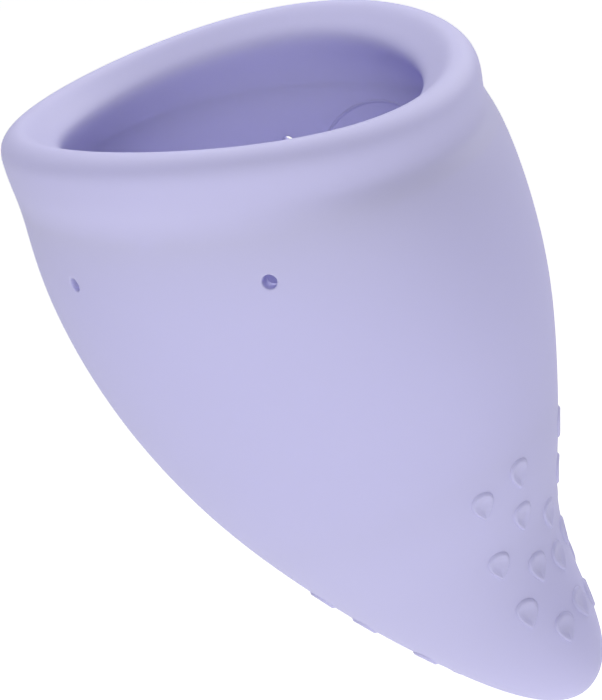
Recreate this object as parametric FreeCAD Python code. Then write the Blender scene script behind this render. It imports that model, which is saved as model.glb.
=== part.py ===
import FreeCAD, Part
import math
import os

# A soft silicone cup: a thick bevelled rim, a thin bell wall with four air holes, a
# closed base, and a solid curved tail that carries raised teardrop grip dots.
# The real thing is one moulding, so its zones are cut from one skin and meet face
# to face. Millimetres and degrees. +Z points out of the mouth, +X towards the tip.

# Centre of the rim's plane. The part's origin is on the ground, under the middle of
# the bounding box.
RIM_X = -3.0
RIM_Z = 61.12

# Rings of control points, from the bottom of the cavity up over the rim's crest and
# down to the tip. Each is (centre x, centre z, half length, tilt, half width, share
# of the saddle), with centres measured from the rim's. The tilt lifts the front.
CAVITY = [
    (11.6, -43.8, 0.0, 28.0, 0.0, 0.0),
    (11.6, -43.8, 7.0, 28.0, 5.4, 0.0),
    (10.0, -39.8, 12.2, 25.0, 9.8, 0.0),
    (7.0, -32.8, 17.0, 20.0, 13.6, 0.0),
    (3.5, -23.3, 20.7, 13.0, 16.3, 0.3),
    (1.3, -13.3, 21.3, 6.5, 17.8, 0.7),
    (0.7, -7.2, 19.6, 3.2, 17.7, 0.95),
]
RIM = [
    (0.0, -3.8, 16.5, 0.0, 16.3, 1.0),
    (0.0, -2.1, 15.7, 0.0, 15.7, 1.0),
    (0.0, -1.0, 17.3, 0.0, 17.3, 1.0),
    (0.0, -0.1, 18.3, 0.0, 18.5, 1.0),
    (0.0, 0.3, 19.4, 0.0, 19.5, 1.0),
    (0.0, -0.7, 21.0, 0.0, 21.3, 1.0),
    (0.0, -2.4, 21.2, 0.0, 21.1, 1.0),
    (0.0, -4.4, 21.1, 0.0, 20.9, 1.0),
]
BODY = [
    (0.7, -6.6, 22.1, 3.2, 20.0, 0.95),
    (1.3, -13.3, 23.4, 6.5, 19.9, 0.7),
    (3.7, -23.9, 22.9, 13.0, 18.2, 0.3),
    (7.6, -34.3, 19.1, 20.0, 15.8, 0.0),
    (12.0, -42.6, 14.6, 28.0, 12.2, 0.0),
    (16.1, -50.8, 9.4, 40.0, 8.2, 0.0),
    (26.4, -59.4, 4.7, 53.0, 4.1, 0.0),
    (26.4, -59.4, 0.0, 53.0, 0.0, 0.0),
]
SADDLE = 1.7          # the rim's sides stand this much above its front and back
AROUND = 24           # control points in each ring
SEAM = 270.0          # where the skin's seam runs, clear of the holes and dots

# Planes between the zones: a point (x, z from the rim's centre) and the tilt.
RIM_CUT = (0.0, -5.6, 0.0)
FLOOR_CUT = (9.0, -37.0, 24.0)
TAIL_CUT = (13.4, -46.0, 30.0)
BLOCK = 200.0         # side of the blocks that cut along them

# Places on the skin are (ring number, angle from the front). Dots off the plane of
# symmetry come in pairs, one on each side.
HOLE_D = 1.2
HOLE_DIP = 12.0       # the holes run down into the cup by this much off square
DRILL_UNDER = 4.5     # the drill starts this far under the skin, past the wall's inside
DRILL_OVER = 2.0
HOLES = [(14.69, -62.75), (14.61, -112.35), (14.78, 62.75), (14.70, 112.35)]
DOT_WIDTH = 2.2
DOT_LENGTH = 3.2
DOT_RISE = 0.2
DOT_TILT = 8.5        # the dots point down, and this much towards the front
DOT_FLANK = 60.0      # where the dot's round end gives way to its flanks
FLANK_BULGE = 0.14    # how far each flank bows out from a straight line
PUNCH = 1.2           # the dot's prism reaches this far over and under the skin
FRONT_DOTS = [
    (17.65, 19.8), (18.21, 21.1), (18.83, 20.2), (19.32, 27.7),
    (17.72, 37.3), (18.53, 40.1), (19.05, 42.7),
    (18.50, 0.0), (18.92, 0.0), (19.29, 0.0),
]
BACK_DOTS = [
    (17.80, 155.0), (18.30, 155.0), (18.76, 155.0), (19.16, 153.0),
    (18.08, 132.0), (18.48, 132.0), (18.94, 131.0),
    (18.06, 180.0), (18.54, 180.0), (18.96, 180.0),
]
MARK_PLACE = (3.68, 84.8)
MARK_D = 16.0         # plain raised ring on one flank, inside
MARK_BAND = 0.3
MARK_PUNCH = 5.0      # height of the tubes that cut the ring


def ring(row):
    """A closed ring of control points for a periodic cubic spline."""
    cx, cz, half, tilt, width, share = row
    step = 2 * math.pi / AROUND
    gain = 3 / (2 + math.cos(step))
    saddle_gain = 3 / (2 + math.cos(2 * step))
    reach_x = half * math.cos(math.radians(tilt)) * gain
    reach_z = half * math.sin(math.radians(tilt)) * gain
    points = []
    for i in range(AROUND):
        a = math.radians(SEAM) + (i - 1) * step
        lift = SADDLE * share * (1 - saddle_gain * math.cos(2 * a)) / 2
        x = RIM_X + cx + reach_x * math.cos(a)
        y = width * gain * math.sin(a)
        z = RIM_Z + cz + reach_z * math.cos(a) + lift
        points.append(FreeCAD.Vector(x, y, z))
    return points


def grown(rows, by):
    """The same rings, wider all round; a ring that is a point stays a point."""
    out = []
    for cx, cz, half, tilt, width, share in rows:
        more = by if half > 0 else 0
        out.append((cx, cz, half + more, tilt, width + more, share))
    return out


def skin(rise):
    """The moulding's surface, with its walls thicker by rise on both sides."""
    rows = grown(CAVITY, -rise) + RIM + grown(BODY, rise)
    spans = len(rows) - 3
    surface = Part.BSplineSurface()
    surface.buildFromPolesMultsKnots(
        [ring(row) for row in rows],
        [4] + [1] * (spans - 1) + [4],
        [1] * (AROUND + 1),
        [float(i) for i in range(spans + 1)],
        [float(i) for i in range(AROUND + 1)],
        False,
        True,
        3,
        3,
    )
    return surface


def moulding(surface):
    """The closed skin as one solid."""
    solid = Part.Solid(Part.Shell([surface.toShape()]))
    if solid.Volume < 0:
        solid.reverse()
    return solid


def below(cut):
    """A block that fills the space under a cutting plane."""
    x, z, tilt = cut
    block = Part.makeBox(BLOCK, BLOCK, BLOCK, FreeCAD.Vector(-BLOCK / 2, -BLOCK / 2, -BLOCK))
    turn = FreeCAD.Rotation(FreeCAD.Vector(0, 1, 0), -tilt)
    block.Placement = FreeCAD.Placement(FreeCAD.Vector(RIM_X + x, 0, RIM_Z + z), turn)
    return block


def on_skin(surface, place, side=1, aim=None):
    """A frame at a place on the skin, z along the normal, x along aim or to the next ring."""
    u, angle = place
    v = (side * angle - SEAM) / 360.0 * AROUND % AROUND
    along, across = surface.tangent(u, v)
    normal = surface.normal(u, v)
    turn = FreeCAD.Rotation(aim or along, across, normal, "ZXY")
    return FreeCAD.Placement(surface.value(u, v), turn)


def both_sides(places):
    """Each place with its side; one off the plane of symmetry is there twice."""
    out = []
    for place in places:
        out.append((place, 1))
        if place[1] % 180:
            out.append((place, -1))
    return out


def bowed(a, b):
    """The middle of a flank from a to b, bowed out to the right of that way."""
    across = (b - a).cross(FreeCAD.Vector(0, 0, 1)).normalize()
    return (a + b) * 0.5 + across * FLANK_BULGE


def teardrop():
    """An upright prism with a teardrop outline, its point towards +x."""
    r = DOT_WIDTH / 2
    centre = FreeCAD.Vector(r - DOT_LENGTH / 2, 0, -PUNCH)
    reach_x = r * math.cos(math.radians(DOT_FLANK))
    reach_y = r * math.sin(math.radians(DOT_FLANK))
    left = centre + FreeCAD.Vector(reach_x, reach_y, 0)
    right = centre + FreeCAD.Vector(reach_x, -reach_y, 0)
    back = centre - FreeCAD.Vector(r, 0, 0)
    tip = FreeCAD.Vector(DOT_LENGTH / 2, 0, -PUNCH)
    edges = [
        Part.Arc(left, back, right).toShape(),
        Part.Arc(right, bowed(right, tip), tip).toShape(),
        Part.Arc(tip, bowed(tip, left), left).toShape(),
    ]
    return Part.Face(Part.Wire(edges)).extrude(FreeCAD.Vector(0, 0, 2 * PUNCH))


def placed(shape, placement):
    """A copy of the shape in that place."""
    copy = shape.copy()
    copy.Placement = placement
    return copy


def wafer(outline, placement):
    """A raised patch on the skin, with the given outline."""
    return placed(outline, placement).common(thicker).cut(whole)


def dots(places):
    """A raised teardrop at each place, on both sides, as one compound."""
    tilt = math.radians(DOT_TILT)
    aim = FreeCAD.Vector(math.sin(tilt), 0, -math.cos(tilt))
    outline = teardrop()
    patches = [wafer(outline, on_skin(surface, *spot, aim)) for spot in both_sides(places)]
    return Part.makeCompound([solid for patch in patches for solid in patch.Solids])


surface = skin(0)
whole = moulding(surface)
thicker = moulding(skin(DOT_RISE))

drill = Part.makeCylinder(HOLE_D / 2, DRILL_UNDER + DRILL_OVER, FreeCAD.Vector(0, 0, -DRILL_UNDER))
dip = FreeCAD.Placement(FreeCAD.Vector(), FreeCAD.Rotation(FreeCAD.Vector(0, 1, 0), -HOLE_DIP))
holes = [placed(drill, on_skin(surface, place) * dip) for place in HOLES]

upper = whole.common(below(RIM_CUT))
parts = {
    "rim": whole.cut(below(RIM_CUT)),
    "cup_wall": upper.cut(below(FLOOR_CUT)).cut(holes),
    "cup_floor": upper.common(below(FLOOR_CUT)).cut(below(TAIL_CUT)),
    "grip_tail": upper.common(below(TAIL_CUT)),
    "grip_dots_front": dots(FRONT_DOTS),
    "grip_dots_back": dots(BACK_DOTS),
}

tube = Part.makeCylinder(MARK_D / 2, MARK_PUNCH)
bore = Part.makeCylinder(MARK_D / 2 - MARK_BAND, MARK_PUNCH)
parts["size_mark_ring"] = wafer(tube.cut(bore), on_skin(surface, MARK_PLACE))

os.makedirs("parts", exist_ok=True)
for name, shape in parts.items():
    print(name, shape.isValid(), len(shape.Solids), "solids", round(shape.Volume, 1), "mm3")
    shape.exportStep("parts/" + name + ".step")
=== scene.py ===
import bmesh
import bpy
import math
import numpy as np
from mathutils import Matrix, Vector


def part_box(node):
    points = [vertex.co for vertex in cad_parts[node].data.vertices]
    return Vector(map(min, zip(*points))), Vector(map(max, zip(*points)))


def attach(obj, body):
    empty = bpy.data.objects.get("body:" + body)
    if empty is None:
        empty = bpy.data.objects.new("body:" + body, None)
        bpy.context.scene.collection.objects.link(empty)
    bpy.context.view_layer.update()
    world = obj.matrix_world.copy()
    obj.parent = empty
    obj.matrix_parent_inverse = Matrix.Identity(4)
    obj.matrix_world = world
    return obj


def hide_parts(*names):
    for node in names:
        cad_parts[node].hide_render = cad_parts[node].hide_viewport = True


# A soft lilac silicone cup: a thick bevelled rim, a thin bell wall with four air holes,
# a closed base and a solid curved tail with raised teardrop grip dots. The moulding's
# skin is one spline surface, the one that the CAD part is cut from. It is built here as
# a fine mesh, cut into the same zones and given a moulded silicone finish.
# The tables and sizes are in millimetres and degrees, and the meshes in metres.

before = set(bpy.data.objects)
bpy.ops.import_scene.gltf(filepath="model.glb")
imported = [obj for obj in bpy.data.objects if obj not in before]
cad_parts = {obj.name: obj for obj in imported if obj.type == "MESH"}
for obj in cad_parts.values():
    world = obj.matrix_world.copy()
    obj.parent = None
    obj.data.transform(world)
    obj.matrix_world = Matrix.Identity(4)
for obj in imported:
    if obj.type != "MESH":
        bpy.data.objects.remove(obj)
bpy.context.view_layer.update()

MM = 0.001

# Rings of the skin, from the bottom of the cavity up over the rim's crest and down to
# the tip. Each is (centre x, centre z, half length, tilt, half width, share of the
# saddle), with centres measured from the rim's. The tilt lifts the front.
CAVITY = [
    (11.6, -43.8, 0.0, 28.0, 0.0, 0.0),
    (11.6, -43.8, 7.0, 28.0, 5.4, 0.0),
    (10.0, -39.8, 12.2, 25.0, 9.8, 0.0),
    (7.0, -32.8, 17.0, 20.0, 13.6, 0.0),
    (3.5, -23.3, 20.7, 13.0, 16.3, 0.3),
    (1.3, -13.3, 21.3, 6.5, 17.8, 0.7),
    (0.7, -7.2, 19.6, 3.2, 17.7, 0.95),
]
RIM = [
    (0.0, -3.8, 16.5, 0.0, 16.3, 1.0),
    (0.0, -2.1, 15.7, 0.0, 15.7, 1.0),
    (0.0, -1.0, 17.3, 0.0, 17.3, 1.0),
    (0.0, -0.1, 18.3, 0.0, 18.5, 1.0),
    (0.0, 0.3, 19.4, 0.0, 19.5, 1.0),
    (0.0, -0.7, 21.0, 0.0, 21.3, 1.0),
    (0.0, -2.4, 21.2, 0.0, 21.1, 1.0),
    (0.0, -4.4, 21.1, 0.0, 20.9, 1.0),
]
BODY = [
    (0.7, -6.6, 22.1, 3.2, 20.0, 0.95),
    (1.3, -13.3, 23.4, 6.5, 19.9, 0.7),
    (3.7, -23.9, 22.9, 13.0, 18.2, 0.3),
    (7.6, -34.3, 19.1, 20.0, 15.8, 0.0),
    (12.0, -42.6, 14.6, 28.0, 12.2, 0.0),
    (16.1, -50.8, 9.4, 40.0, 8.2, 0.0),
    (26.4, -59.4, 4.7, 53.0, 4.1, 0.0),
    (26.4, -59.4, 0.0, 53.0, 0.0, 0.0),
]
SADDLE = 1.7          # the rim's sides stand this much above its front and back
LAST = len(CAVITY + RIM + BODY) - 3

# Planes between the zones: a point (x, z from the rim's centre) and the tilt.
RIM_CUT = (0.0, -5.6, 0.0)
FLOOR_CUT = (9.0, -37.0, 24.0)
TAIL_CUT = (13.4, -46.0, 30.0)

# Places on the skin are (ring number, angle from the front). Dots off the plane of
# symmetry come in pairs, one on each side.
HOLE_D = 1.2
HOLE_DIP = 12.0       # the holes run down into the cup by this much off square
HOLE_EDGE = 0.15      # how far the hole's softened edge reaches
HOLES = [(14.69, -62.75), (14.61, -112.35), (14.78, 62.75), (14.70, 112.35)]
DOT_WIDTH = 2.2
DOT_LENGTH = 3.2
DOT_RISE = 0.2
DOT_TILT = 8.5        # the dots point down, and this much towards the front
FRONT_DOTS = [
    (17.65, 19.8), (18.21, 21.1), (18.83, 20.2), (19.32, 27.7),
    (17.72, 37.3), (18.53, 40.1), (19.05, 42.7),
    (18.50, 0.0), (18.92, 0.0), (19.29, 0.0),
]
BACK_DOTS = [
    (17.80, 155.0), (18.30, 155.0), (18.76, 155.0), (19.16, 153.0),
    (18.08, 132.0), (18.48, 132.0), (18.94, 131.0),
    (18.06, 180.0), (18.54, 180.0), (18.96, 180.0),
]
MARK_PLACE = (3.68, 84.8)
MARK_D = 16.0         # plain raised ring on one flank, inside
MARK_BAND = 0.3
MARK_RISE = 0.06

# Mesh density.
ROW_STEP = 0.3        # between rings of the skin
COLUMNS = 240         # round the skin, halved towards each end
HOLE_ROWS = 10        # skin cells that each hole's patch stands in for
HOLE_COLUMNS = 6
PATCH_STEPS = 4       # faces from the patch's outline in to the hole's edge
EDGE_STEPS = 5        # faces across the hole's softened edge
BORE_STEPS = 4        # faces along the hole

# Reckoning on the skin.
SLOPE_REACH = 1e-3    # ring numbers and degrees to each side that a slope is taken over
SEARCH_STEPS = 6      # rounds that find a place on the skin from its offsets
PROFILE_POINTS = 4000  # along the skin's profile, for its length
GIRTH_POINTS = 49     # round one ring, for its length
INNER_TRIES = 60      # up the cavity's wall, for where a hole comes out
TAIL_ROWS = 200       # over the tail, for its lowest and foremost points
TAIL_COLUMNS = 181

# Raised details, as shares of the dot's or band's size and of its rise.
DOT_PROFILE = [
    (1.05, -0.8), (1.0, 0.0), (0.94, 0.5), (0.86, 0.9), (0.8, 1.0),
    (0.72, 0.92), (0.56, 0.55), (0.38, 0.22), (0.2, 0.08),
]
DOT_SIDES = 48
TEARDROP_REACH = 0.77   # widest reach of the teardrop curve, sin(t) * sin(t / 2)
MARK_PROFILE = [
    (-0.1, -0.6), (0.0, 0.0), (0.1, 0.7), (0.25, 1.0),
    (0.75, 1.0), (0.9, 0.7), (1.0, 0.0), (1.1, -0.6),
]
MARK_SIDES = 160

# Finish.
LILAC_DEEP = (0.625, 0.61, 0.875, 1)
LILAC_PALE = (0.65, 0.635, 0.895, 1)
SILICONE_IOR = 1.43
CLOUDS_PER_M = 60.0
CLOUD_DETAIL = 3.0
GRAIN_PER_M = 4000.0
GRAIN_DETAIL = 2.0
GRAIN_DEPTH = 0.000004
ROUGH_LEAST, ROUGH_MOST = 0.5, 0.6
LIGHT_THROUGH = 0.27    # share of the light that goes through a surface

# Studio, in metres: square lights at one distance, each (name, azimuth, elevation, watts).
WORLD_STRENGTH = 0.2
WORLD_SEEN = 1.0      # its strength where it is seen itself
LIGHT_AIM = (0.0, 0.0, 0.035)
LIGHT_DISTANCE = 0.5
LIGHT_SIZE = 0.3
LIGHTS = [
    ("front", 34.0, 32.0, 1.0),
    ("low_left", -20.0, -28.0, 0.2),
    ("back_left", -101.0, 58.0, 0.6),
    ("back_high", -146.0, 58.0, 1.15),
    ("back_right", 169.0, 32.0, 1.1),
]
FLOOR_WHITE = (0.8, 0.8, 0.8, 1)
FLOOR_ROUGH = 0.9
FLOOR_GLOW = 0.84
FLOOR_DROP = 0.35     # how far the floor is under the tip of the tail
FLOOR_REACH = 30.0
FLOOR_CORNERS = [(-1, -1), (1, -1), (1, 1), (-1, 1)]

# Camera: its target is measured from the rim's centre, and its shift is in picture widths.
CAMERA_ANGLES = (33.97, 26.52, -11.19)   # azimuth, elevation and roll
CAMERA_TARGET = (3.0, 0.0, -27.0)
CAMERA_DISTANCE = 0.1544                 # metres, like the near limit
CAMERA_NEAR = 0.01
CAMERA_LENS = 85.0
CAMERA_SENSOR = 36.0
CAMERA_SHIFT = (-0.0281, 0.0203)

# Names of what the skin mesh carries while it is cut up.
SKIN_NORMAL = "skin_normal"
FLAT = "flat"


# The skin as a surface -----------------------------------------------------------------

def ring_numbers():
    """The rings' numbers, with the tilted half length as its level and rising parts."""
    table = np.array(CAVITY + RIM + BODY)
    centre_x, centre_z, half, tilt, width, share = table.T
    tilt = np.radians(tilt)
    return np.stack([centre_x, centre_z, half * np.cos(tilt), half * np.sin(tilt), width, share])


def spline_weights(u):
    """How much each ring counts at u, in a clamped cubic spline."""
    knots = np.concatenate([np.zeros(3), np.arange(LAST + 1), np.full(3, LAST)])
    u = np.clip(u, 0, LAST - 1e-9)[..., None]
    weight = ((knots[:-1] <= u) & (u < knots[1:])).astype(float)
    for degree in (1, 2, 3):
        start, stop = knots[: -degree - 1], knots[degree + 1 :]
        rising = knots[degree:-1] - start
        falling = stop - knots[1:-degree]
        up = np.divide(u - start, rising, out=np.zeros(u.shape[:-1] + rising.shape), where=rising > 0)
        down = np.divide(stop - u, falling, out=np.zeros(u.shape[:-1] + falling.shape), where=falling > 0)
        weight = up * weight[..., :-1] + down * weight[..., 1:]
    return weight


def skin(u, angle):
    """Points of the skin at ring numbers u and angles from the front, from the rim's centre."""
    u, angle = np.broadcast_arrays(np.asarray(u, float), np.radians(angle))
    centre_x, centre_z, level, rising, width, share = np.moveaxis(spline_weights(u) @ RINGS.T, -1, 0)
    x = centre_x + level * np.cos(angle)
    y = width * np.sin(angle)
    z = centre_z + rising * np.cos(angle) + SADDLE * share * np.sin(angle) ** 2
    return np.stack([x, y, z], -1)


def slopes(u, angle):
    """How the skin moves per ring number and per degree."""
    reach = SLOPE_REACH
    per_ring = (skin(u + reach, angle) - skin(u - reach, angle)) / (2 * reach)
    per_degree = (skin(u, angle + reach) - skin(u, angle - reach)) / (2 * reach)
    return per_ring, per_degree


def outward(u, angle):
    """Unit normals of the skin, out of the silicone."""
    per_ring, per_degree = slopes(u, angle)
    normal = np.cross(per_ring, per_degree)
    return normal / np.linalg.norm(normal, axis=-1, keepdims=True)


def local_frame(place, side=1, aim=None):
    """A place on the skin as (point, x along aim or to the next ring, y, normal)."""
    u, angle = place
    normal = outward(u, side * angle)
    along = slopes(u, side * angle)[0] if aim is None else aim - normal * (aim @ normal)
    along = along / np.linalg.norm(along)
    return skin(u, side * angle), along, np.cross(normal, along), normal


def dipped(axes):
    """A local frame leaned over, so that its normal follows an air hole's axis."""
    origin, x_axis, y_axis, normal = axes
    dip = math.radians(HOLE_DIP)
    along = x_axis * math.cos(dip) + normal * math.sin(dip)
    return origin, along, y_axis, normal * math.cos(dip) - x_axis * math.sin(dip)


def beside(axes, start, along, across):
    """Ring numbers and angles of the skin points at these offsets in a local frame."""
    origin, x_axis, y_axis, _ = axes
    u = np.full(np.shape(along), float(start[0]))
    angle = np.full(np.shape(along), float(start[1]))
    for _ in range(SEARCH_STEPS):
        gap = skin(u, angle) - origin
        miss_x, miss_y = along - gap @ x_axis, across - gap @ y_axis
        per_ring, per_degree = slopes(u, angle)
        a, b = per_ring @ x_axis, per_degree @ x_axis
        c, d = per_ring @ y_axis, per_degree @ y_axis
        det = a * d - b * c
        u = u + (d * miss_x - b * miss_y) / det
        angle = angle + (a * miss_y - c * miss_x) / det
    return u, angle


def both_sides(places):
    """Each place with its side; one off the plane of symmetry is there twice."""
    return [(place, side) for place in places for side in (1, -1) if side == 1 or place[1] % 180]


RINGS = ring_numbers()


def rim_centre():
    """Where the rim's centre is, from the tip of the CAD part's tail."""
    rows = np.linspace(LAST - 3, LAST, TAIL_ROWS)
    columns = np.linspace(0, 360, TAIL_COLUMNS)
    tail = skin(*np.meshgrid(rows, columns))
    low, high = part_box("grip_tail")
    return (high.x / MM - tail[..., 0].max(), 0.0, low.z / MM - tail[..., 2].min())


RIM_CENTRE = rim_centre()


# The moulding as one mesh --------------------------------------------------------------

class Growing:
    """Points and faces of a mesh as it grows."""

    def __init__(self):
        self.points = []
        self.faces = []

    def ring(self, points):
        """Adds points, measured from the rim's centre in millimetres; returns their numbers."""
        first = len(self.points)
        self.points.extend(points)
        return list(range(first, len(self.points)))

    def join(self, ring, following):
        """A closed band of faces between two rings. One may have half the other's points."""
        if len(ring) < len(following):
            ring, following = following, ring
        if len(ring) == len(following):
            for i in range(len(ring)):
                self.faces.append((ring[i - 1], following[i - 1], following[i], ring[i]))
            return
        for i in range(len(following)):
            before, middle, after = ring[2 * i - 2], ring[2 * i - 1], ring[2 * i]
            self.faces.append((before, following[i - 1], middle))
            self.faces.append((middle, following[i - 1], following[i], after))

    def close(self, ring, point):
        """A fan of triangles from a ring to one point."""
        centre, = self.ring([point])
        for i in range(len(ring)):
            self.faces.append((ring[i - 1], centre, ring[i]))

    def to_bmesh(self):
        """The mesh in metres in the part's frame, with its faces turned outwards."""
        mesh = bpy.data.meshes.new("growing")
        mesh.from_pydata((np.array(self.points) + RIM_CENTRE) * MM, [], self.faces)
        bm = bmesh.new()
        bm.from_mesh(mesh)
        bpy.data.meshes.remove(mesh)
        unused = [v for v in bm.verts if not v.link_faces]
        bmesh.ops.delete(bm, geom=unused, context="VERTS")
        bmesh.ops.recalc_face_normals(bm, faces=bm.faces)
        return bm


def ring_rows():
    """Ring numbers evenly spaced along the skin's profile, without the two ends."""
    fine = np.linspace(0, LAST, PROFILE_POINTS)
    steps = np.linalg.norm(np.diff(skin(fine, 90.0), axis=0), axis=1)
    length = np.concatenate([[0], np.cumsum(steps)])
    count = round(length[-1] / ROW_STEP)
    return np.interp(np.linspace(0, length[-1], count + 1)[1:-1], length, fine)


def columns_at(u):
    """How many points the ring at u takes: fewer where it is small."""
    around = skin(u, np.linspace(0, 360, GIRTH_POINTS))
    length = np.linalg.norm(np.diff(around, axis=0), axis=1).sum()
    columns = COLUMNS
    while columns % 2 == 0 and length / columns < ROW_STEP / 2:
        columns //= 2
    return columns


def patch_outline(rows, middle, inside):
    """Grid points round one end of a hole, as (row, column), the same way round at both ends."""
    row = int(np.argmin(np.abs(rows - middle[0])))
    column = round(middle[1] / 360 * COLUMNS)
    top, bottom = row - HOLE_ROWS // 2, row + HOLE_ROWS // 2
    left, right = column - HOLE_COLUMNS // 2, column + HOLE_COLUMNS // 2
    if inside:
        top, bottom = bottom, top
    step = 1 if bottom > top else -1
    outline = [(top, c) for c in range(left, right)]
    outline += [(r, right) for r in range(top, bottom, step)]
    outline += [(bottom, c) for c in range(right, left, -1)]
    outline += [(r, left) for r in range(bottom, top, -step)]
    return [(r, c % COLUMNS) for r, c in outline]


def covered_cells(outline):
    """The cells inside a patch's outline, each by its first row and column."""
    rows = sorted({r for r, _ in outline})[:-1]
    first_column = outline[0][1]
    return {(r, (first_column + k) % COLUMNS) for r in rows for k in range(HOLE_COLUMNS)}


def patch(growing, numbers, axes, middle, outline, inside):
    """The skin from a patch's outline in to the hole, with a soft edge; returns its last ring."""
    origin, x_axis, y_axis, normal = axes
    ring = [numbers[r][c] for r, c in outline]
    edge = np.array([growing.points[i] for i in ring]) - origin
    edge_x, edge_y = edge @ x_axis, edge @ y_axis
    step = 2 * math.pi / len(ring)
    turn = math.pi + step * (HOLE_COLUMNS / 2 - np.arange(len(ring)))
    circle_x, circle_y = np.cos(turn), np.sin(turn)
    reach = HOLE_D / 2 + HOLE_EDGE
    for share in np.arange(1, PATCH_STEPS + 1) / PATCH_STEPS:
        along = edge_x + (reach * circle_x - edge_x) * share
        across = edge_y + (reach * circle_y - edge_y) * share
        following = growing.ring(skin(*beside(axes, middle, along, across)))
        growing.join(ring, following)
        ring = following
    into = normal if inside else -normal
    for bend in np.linspace(0, math.pi / 2, EDGE_STEPS + 1)[1:]:
        radius = HOLE_D / 2 + HOLE_EDGE * (1 - math.sin(bend))
        level = skin(*beside(axes, middle, radius * circle_x, radius * circle_y))
        following = growing.ring(level + into * HOLE_EDGE * (1 - math.cos(bend)))
        growing.join(ring, following)
        ring = following
    return ring


def hole_inside(axes, angle):
    """Where a hole's axis comes out of the wall's inner face, as (ring number, angle)."""
    origin, x_axis, y_axis, _ = axes
    tries = np.linspace(2, len(CAVITY) - 1, INNER_TRIES)
    gap = skin(tries, angle) - origin
    miss = np.hypot(gap @ x_axis, gap @ y_axis)
    u, angle = beside(axes, (tries[np.argmin(miss)], angle), 0.0, 0.0)
    return float(u), float(angle)


def air_hole(growing, numbers, rows, place):
    """An air hole through the wall; returns the skin's cells that it stands in for."""
    axes = dipped(local_frame(place))
    covered = set()
    ends = []
    for middle, inside in ((place, False), (hole_inside(axes, place[1]), True)):
        outline = patch_outline(rows, middle, inside)
        covered |= covered_cells(outline)
        ends.append(patch(growing, numbers, axes, middle, outline, inside))
    ring = ends[0]
    first, last = (np.array([growing.points[i] for i in end]) for end in ends)
    for share in np.arange(1, BORE_STEPS) / BORE_STEPS:
        following = growing.ring(first + (last - first) * share)
        growing.join(ring, following)
        ring = following
    growing.join(ring, ends[1])
    return covered


def skin_cells(growing, numbers, covered):
    """The skin's faces, ring by ring, without the cells where the air holes are."""
    for row, (ring, following) in enumerate(zip(numbers, numbers[1:])):
        if not len(ring) == len(following) == COLUMNS:
            growing.join(ring, following)
            continue
        for column in range(COLUMNS):
            if (row, column) not in covered:
                after = (column + 1) % COLUMNS
                growing.faces.append((ring[column], following[column], following[after], ring[after]))


def moulding():
    """The whole closed skin with its air holes, as a bmesh that knows its own normals."""
    growing = Growing()
    rows = ring_rows()
    numbers = []
    for u in rows:
        columns = columns_at(u)
        numbers.append(growing.ring(skin(u, 360 / columns * np.arange(columns))))
    covered = set()
    for place in HOLES:
        covered |= air_hole(growing, numbers, rows, place)
    skin_cells(growing, numbers, covered)
    growing.close(numbers[0], skin(0.0, 0.0))
    growing.close(numbers[-1], skin(float(LAST), 0.0))
    bm = growing.to_bmesh()
    bm.normal_update()
    layer = bm.verts.layers.float_vector.new(SKIN_NORMAL)
    for v in bm.verts:
        v[layer] = v.normal
    return bm


def cut_away(bm, cut, keep_above):
    """Cuts the mesh along a plane, keeps one side and closes it with flat faces."""
    x, z, tilt = cut
    point = (Vector(RIM_CENTRE) + Vector((x, 0, z))) * MM
    normal = Matrix.Rotation(math.radians(-tilt), 3, "Y") @ Vector((0, 0, 1))
    made = bmesh.ops.bisect_plane(
        bm,
        geom=[*bm.verts, *bm.edges, *bm.faces],
        dist=1e-7,
        plane_co=point,
        plane_no=normal,
        clear_inner=keep_above,
        clear_outer=not keep_above,
    )
    edges = [e for e in made["geom_cut"] if isinstance(e, bmesh.types.BMEdge)]
    outwards = -normal if keep_above else normal
    filled = bmesh.ops.triangle_fill(bm, use_beauty=True, edges=edges, normal=outwards)
    flat = bm.faces.layers.int[FLAT]
    for face in filled["geom"]:
        if isinstance(face, bmesh.types.BMFace):
            face[flat] = 1


def zone(source, name, above=None, below=None):
    """One zone of the moulding, between two cutting planes, shaded like the whole skin."""
    bm = source.copy()
    bm.faces.layers.int.new(FLAT)
    if above is not None:
        cut_away(bm, above, True)
    if below is not None:
        cut_away(bm, below, False)
    bmesh.ops.recalc_face_normals(bm, faces=bm.faces)
    mesh = bpy.data.meshes.new(name)
    bm.to_mesh(mesh)
    bm.free()
    shade_like_skin(mesh)
    return linked(name, mesh)


def shade_like_skin(mesh):
    """Gives a zone the whole skin's normals, except on the flat faces where it was cut."""
    smooth = np.empty(len(mesh.vertices) * 3, np.float32)
    mesh.attributes[SKIN_NORMAL].data.foreach_get("vector", smooth)
    flat = np.empty(len(mesh.polygons), np.int32)
    mesh.attributes[FLAT].data.foreach_get("value", flat)
    corner = np.empty(len(mesh.loops), np.int32)
    mesh.loops.foreach_get("vertex_index", corner)
    normals = smooth.reshape(-1, 3)[corner]
    for polygon in mesh.polygons:
        polygon.use_smooth = True
        if flat[polygon.index]:
            normals[polygon.loop_start : polygon.loop_start + polygon.loop_total] = polygon.normal
    mesh.normals_split_custom_set(normals.tolist())
    for attribute in (SKIN_NORMAL, FLAT):
        mesh.attributes.remove(mesh.attributes[attribute])


def linked(name, mesh):
    """An object for the mesh, in the scene."""
    made = bpy.data.objects.new(name, mesh)
    bpy.context.scene.collection.objects.link(made)
    return made


# Raised details ------------------------------------------------------------------------

def raised(growing, axes, middle, x, y, rise):
    """A ring of points over the skin, at offsets in a local frame."""
    u, angle = beside(axes, middle, x, y)
    return growing.ring(skin(u, angle) + outward(u, angle) * rise)


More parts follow.
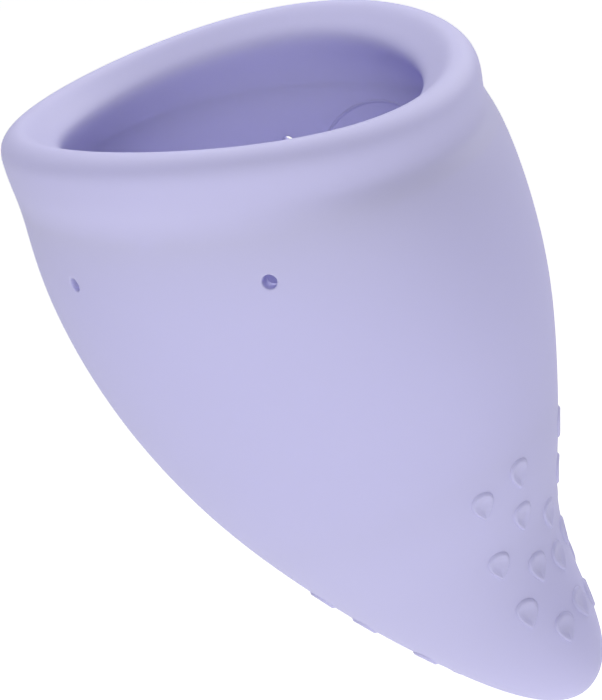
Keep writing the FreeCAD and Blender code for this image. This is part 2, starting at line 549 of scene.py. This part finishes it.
def dots(name, places):
    """A raised teardrop at each place, its round end towards the rim, in one object."""
    growing = Growing()
    tilt = math.radians(DOT_TILT)
    aim = np.array([math.sin(tilt), 0, -math.cos(tilt)])
    turn = 2 * math.pi / DOT_SIDES * np.arange(DOT_SIDES)
    outline_x = DOT_LENGTH / 2 * np.cos(turn)
    outline_y = DOT_WIDTH / 2 / TEARDROP_REACH * np.sin(turn) * np.abs(np.sin(turn / 2))
    for (u, angle), side in both_sides(places):
        axes = local_frame((u, angle), side, aim)
        middle = (u, side * angle)
        rings = [
            raised(growing, axes, middle, outline_x * size, outline_y * size, DOT_RISE * rise)
            for size, rise in DOT_PROFILE
        ]
        for ring, following in zip(rings, rings[1:]):
            growing.join(ring, following)
        origin, _, _, normal = axes
        growing.close(rings[0], origin + normal * DOT_RISE * DOT_PROFILE[0][1])
        growing.close(rings[-1], origin + normal * DOT_RISE * DOT_PROFILE[-1][1])
    return smooth_object(name, growing)


def mark_ring(name):
    """The plain raised ring inside one flank."""
    growing = Growing()
    axes = local_frame(MARK_PLACE)
    turn = 2 * math.pi / MARK_SIDES * np.arange(MARK_SIDES)
    rings = []
    for inset, rise in MARK_PROFILE:
        radius = MARK_D / 2 - MARK_BAND * inset
        x, y = radius * np.cos(turn), radius * np.sin(turn)
        rings.append(raised(growing, axes, MARK_PLACE, x, y, MARK_RISE * rise))
    for ring, following in zip(rings, rings[1:] + rings[:1]):
        growing.join(ring, following)
    return smooth_object(name, growing)


def smooth_object(name, growing):
    """An object of what has grown, shaded smooth."""
    bm = growing.to_bmesh()
    mesh = bpy.data.meshes.new(name)
    bm.to_mesh(mesh)
    bm.free()
    mesh.polygons.foreach_set("use_smooth", [True] * len(mesh.polygons))
    return linked(name, mesh)


# Material ------------------------------------------------------------------------------

def noise(tree, coordinates, scale, detail):
    """A noise texture over the object."""
    node = tree.nodes.new("ShaderNodeTexNoise")
    node.inputs["Scale"].default_value = scale
    node.inputs["Detail"].default_value = detail
    tree.links.new(coordinates, node.inputs["Vector"])
    return node.outputs["Fac"]


def silicone():
    """Matte moulded silicone: lilac, faintly clouded and translucent, with a fine grain."""
    material = bpy.data.materials.new("matte_lilac_silicone")
    material.use_nodes = True
    tree = material.node_tree
    shader = tree.nodes["Principled BSDF"]
    shader.inputs["IOR"].default_value = SILICONE_IOR
    shader.inputs["Specular IOR Level"].default_value = 0.5
    place = tree.nodes.new("ShaderNodeTexCoord").outputs["Object"]

    clouds = noise(tree, place, CLOUDS_PER_M, CLOUD_DETAIL)
    colour = tree.nodes.new("ShaderNodeMix")
    colour.data_type = "RGBA"
    colour.inputs["A"].default_value = LILAC_DEEP
    colour.inputs["B"].default_value = LILAC_PALE
    tree.links.new(clouds, colour.inputs["Factor"])
    tree.links.new(colour.outputs["Result"], shader.inputs["Base Color"])

    grain = noise(tree, place, GRAIN_PER_M, GRAIN_DETAIL)
    rough = tree.nodes.new("ShaderNodeMapRange")
    rough.inputs["To Min"].default_value = ROUGH_LEAST
    rough.inputs["To Max"].default_value = ROUGH_MOST
    tree.links.new(grain, rough.inputs["Value"])
    tree.links.new(rough.outputs["Result"], shader.inputs["Roughness"])

    bump = tree.nodes.new("ShaderNodeBump")
    bump.inputs["Strength"].default_value = 1.0
    bump.inputs["Distance"].default_value = GRAIN_DEPTH
    tree.links.new(grain, bump.inputs["Height"])
    tree.links.new(bump.outputs["Normal"], shader.inputs["Normal"])

    through = tree.nodes.new("ShaderNodeBsdfTranslucent")
    tree.links.new(colour.outputs["Result"], through.inputs["Color"])
    mixed = tree.nodes.new("ShaderNodeMixShader")
    mixed.inputs["Fac"].default_value = LIGHT_THROUGH
    tree.links.new(shader.outputs["BSDF"], mixed.inputs[1])
    tree.links.new(through.outputs["BSDF"], mixed.inputs[2])
    tree.links.new(mixed.outputs["Shader"], tree.nodes["Material Output"].inputs["Surface"])
    return material


# Stage ---------------------------------------------------------------------------------

def add_floor():
    """A plain white floor that glows like a light table, well below the cup."""
    material = bpy.data.materials.new("floor_white")
    material.use_nodes = True
    shader = material.node_tree.nodes["Principled BSDF"]
    shader.inputs["Base Color"].default_value = FLOOR_WHITE
    shader.inputs["Roughness"].default_value = FLOOR_ROUGH
    shader.inputs["Emission Color"].default_value = (1, 1, 1, 1)
    shader.inputs["Emission Strength"].default_value = FLOOR_GLOW
    mesh = bpy.data.meshes.new("floor")
    corners = [(x * FLOOR_REACH, y * FLOOR_REACH, -FLOOR_DROP) for x, y in FLOOR_CORNERS]
    mesh.from_pydata(corners, [], [(0, 1, 2, 3)])
    mesh.materials.append(material)
    linked("floor", mesh)


def add_light(name, azimuth, elevation, watts):
    """A soft square light round the cup. Azimuth 0 is at -Y, and 90 at +X."""
    data = bpy.data.lights.new(name, "AREA")
    data.shape = "SQUARE"
    data.size = LIGHT_SIZE
    data.energy = watts
    lamp = bpy.data.objects.new(name, data)
    bpy.context.scene.collection.objects.link(lamp)
    a, e = math.radians(azimuth), math.radians(elevation)
    back = Vector((math.sin(a) * math.cos(e), -math.cos(a) * math.cos(e), math.sin(e)))
    lamp.location = Vector(LIGHT_AIM) + back * LIGHT_DISTANCE
    lamp.rotation_mode = "QUATERNION"
    lamp.rotation_quaternion = back.to_track_quat("Z", "Y")
    lamp.visible_camera = False


def add_world():
    """Even soft light from all round, and plain white where it is seen itself."""
    world = bpy.data.worlds.new("studio")
    world.use_nodes = True
    tree = world.node_tree
    background = tree.nodes["Background"]
    background.inputs["Color"].default_value = (1, 1, 1, 1)
    strength = tree.nodes.new("ShaderNodeMapRange")
    strength.inputs["To Min"].default_value = WORLD_STRENGTH
    strength.inputs["To Max"].default_value = WORLD_SEEN
    seen = tree.nodes.new("ShaderNodeLightPath").outputs["Is Camera Ray"]
    tree.links.new(seen, strength.inputs["Value"])
    tree.links.new(strength.outputs["Result"], background.inputs["Strength"])
    bpy.context.scene.world = world
    bpy.context.scene.view_settings.view_transform = "Standard"


def add_camera():
    """The main view: from the front, off to one side, looking a little down."""
    data = bpy.data.cameras.new("camera")
    data.lens = CAMERA_LENS
    data.sensor_width = CAMERA_SENSOR
    data.shift_x, data.shift_y = CAMERA_SHIFT
    data.clip_start = CAMERA_NEAR
    camera = bpy.data.objects.new("camera", data)
    bpy.context.scene.collection.objects.link(camera)
    azimuth, elevation, roll = (math.radians(angle) for angle in CAMERA_ANGLES)
    back = Vector((
        math.sin(azimuth) * math.cos(elevation),
        -math.cos(azimuth) * math.cos(elevation),
        math.sin(elevation),
    ))
    right = Vector((math.cos(azimuth), math.sin(azimuth), 0))
    turn = Matrix((right, back.cross(right), back)).transposed() @ Matrix.Rotation(roll, 3, "Z")
    target = (Vector(RIM_CENTRE) + Vector(CAMERA_TARGET)) * MM
    camera.matrix_world = Matrix.Translation(target + back * CAMERA_DISTANCE) @ turn.to_4x4()
    bpy.context.scene.camera = camera


# The scene -----------------------------------------------------------------------------

source = moulding()
pieces = {
    "rim": zone(source, "rim_skin", above=RIM_CUT),
    "cup_wall": zone(source, "wall_skin", above=FLOOR_CUT, below=RIM_CUT),
    "cup_floor": zone(source, "base_skin", above=TAIL_CUT, below=FLOOR_CUT),
    "grip_tail": zone(source, "tail_skin", below=TAIL_CUT),
    "grip_dots_front": dots("front_dots", FRONT_DOTS),
    "grip_dots_back": dots("back_dots", BACK_DOTS),
    "size_mark_ring": mark_ring("flank_ring"),
}
source.free()
finish = silicone()
for node, piece in pieces.items():
    piece.data.materials.append(finish)
    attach(piece, "root")
    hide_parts(node)

add_floor()
add_world()
for light in LIGHTS:
    add_light(*light)
add_camera()
